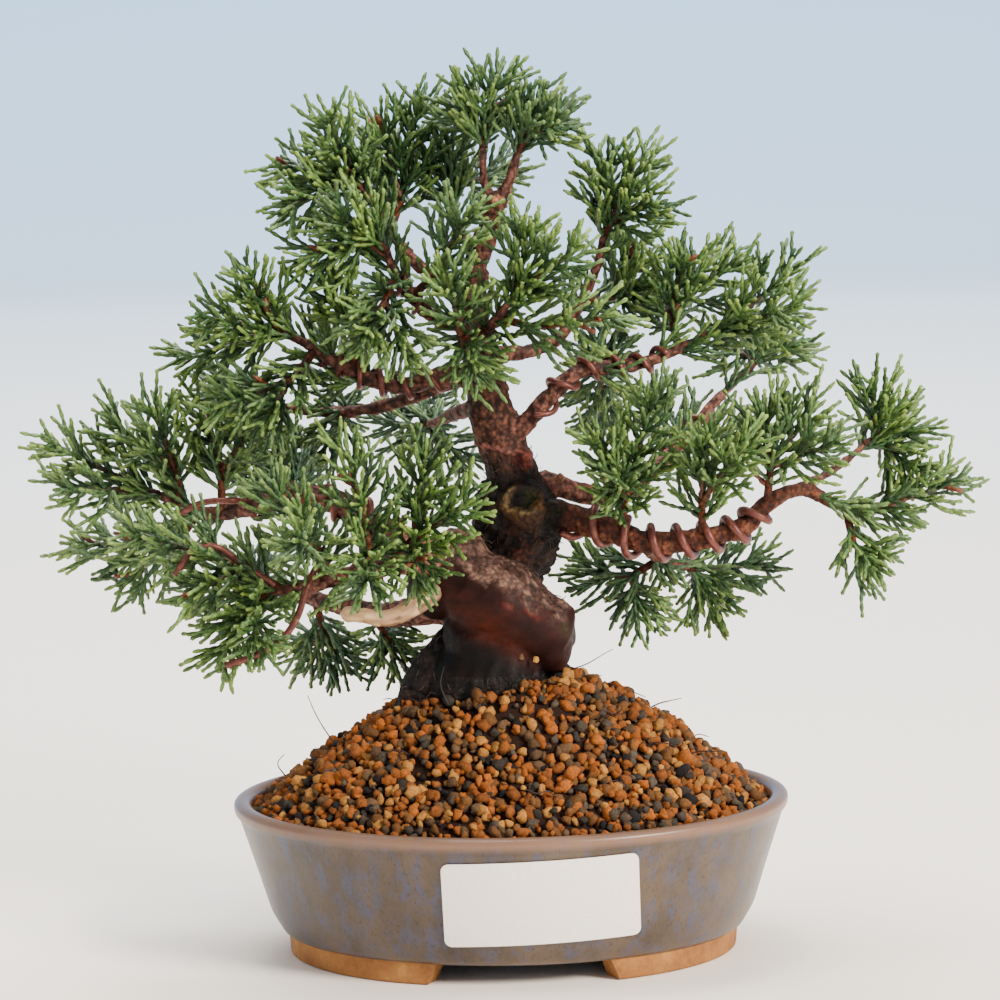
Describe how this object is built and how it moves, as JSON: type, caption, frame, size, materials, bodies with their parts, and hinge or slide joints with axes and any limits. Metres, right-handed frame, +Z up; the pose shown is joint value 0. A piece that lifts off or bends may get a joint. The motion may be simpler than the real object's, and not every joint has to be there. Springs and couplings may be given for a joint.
{
  "type": "bonsai tree",
  "caption": "Juniper bonsai with a slanting trunk, wired limbs and sprays of cord-like foliage, standing in a mound of granules in an oval glazed pot on cut feet.",
  "frame": {"origin": "on the ground under the middle of the pot, which is also under the middle of the whole bounding box", "axes": "+X to the right as seen from the front, along the pot's longer axis and the longest limbs; +Y to the back; +Z up"},
  "size_m": [0.2617, 0.1549, 0.2398],
  "materials": {
    "glazed_pot": "satin grey-brown glaze with blue flecks, bare clay feet",
    "label_paper": "matte white",
    "drain_mesh": "matte",
    "granules": "rough porous granules",
    "bark": "flaking bark, bare polished wood on the lower trunk",
    "training_wire": "copper-brown anodised, matte",
    "foliage": "scaly green shoots"
  },
  "bodies": {
    "root": {"pot": "glazed_pot", "label": "label_paper", "drain_mesh_left": "drain_mesh", "drain_mesh_right": "drain_mesh", "soil": "granules", "tree": "bark", "wire_left_low": "training_wire", "wire_left_mid": "training_wire", "wire_left_high": "training_wire", "wire_right_mid": "training_wire", "wire_right_back": "training_wire", "wire_right_low": "training_wire", "wire_left_front": "training_wire", "spray_apex_left": "foliage", "spray_apex_right": "foliage", "spray_crown_left": "foliage", "spray_crown_back": "foliage", "spray_crown_middle": "foliage", "spray_high_left": "foliage", "spray_high_hanging": "foliage", "spray_high_inner": "foliage", "spray_mid_left": "foliage", "spray_mid_left_low": "foliage", "spray_mid_left_top": "foliage", "spray_mid_left_back": "foliage", "spray_mid_left_inner": "foliage", "spray_back": "foliage", "spray_low_left_tip": "foliage", "spray_low_left_top": "foliage", "spray_low_left_inner": "foliage", "spray_low_left_under": "foliage", "spray_low_left_back": "foliage", "spray_front_left_tip": "foliage", "spray_front_left_side": "foliage", "spray_front_left_top": "foliage", "spray_front_middle": "foliage", "spray_front_inner": "foliage", "spray_under_left": "foliage", "spray_under_left_hanging": "foliage", "spray_under_left_inner": "foliage", "spray_right_high": "foliage", "spray_right_high_low": "foliage", "spray_front_high": "foliage", "spray_front_high_low": "foliage", "spray_front_high_inner": "foliage", "spray_right_mid": "foliage", "spray_right_mid_top": "foliage", "spray_right_mid_back": "foliage", "spray_right_back": "foliage", "spray_right_back_low": "foliage", "spray_right_tip": "foliage", "spray_right_hanging": "foliage", "spray_right_front": "foliage", "spray_right_middle": "foliage", "spray_right_outer": "foliage", "spray_right_fork": "foliage", "spray_right_under": "foliage", "spray_right_under_inner": "foliage"}
  },
  "joints": []
}
